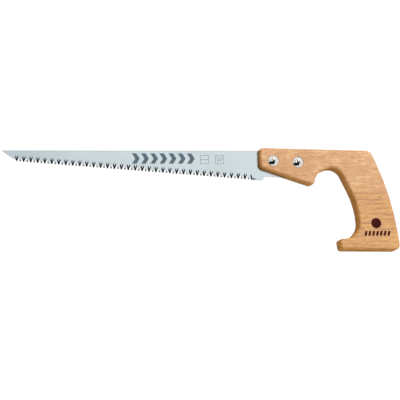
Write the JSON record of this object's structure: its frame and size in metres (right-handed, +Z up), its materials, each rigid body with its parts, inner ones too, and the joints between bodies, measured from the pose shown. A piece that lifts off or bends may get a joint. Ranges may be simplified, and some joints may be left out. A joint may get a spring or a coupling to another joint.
{
  "type": "hand saw",
  "caption": "Compass saw with a tapered toothed blade held by saw screws in the kerf of an open, hooked wooden handle",
  "frame": {"origin": "bottom centre of the saw's box, where the saw lies flat on its side on a surface", "axes": "+X from the blade's tip to the handle, +Y from the teeth to the blade's straight back, +Z up through the handle's thickness"},
  "size_m": [0.473, 0.123, 0.024],
  "materials": {
    "blade_steel": "cold-rolled, polished and lacquered, with blue-black hardened teeth",
    "beech": "sanded and clear varnished, straight grain along the blade",
    "screw_plating": "bright nickel plate",
    "nut_plating": "bright nickel plate"
  },
  "bodies": {
    "root": {"blade": "blade_steel", "handle": "beech", "saw_screw_front": "screw_plating", "saw_screw_rear": "screw_plating", "sleeve_nut_front": "nut_plating", "sleeve_nut_rear": "nut_plating"}
  },
  "joints": []
}
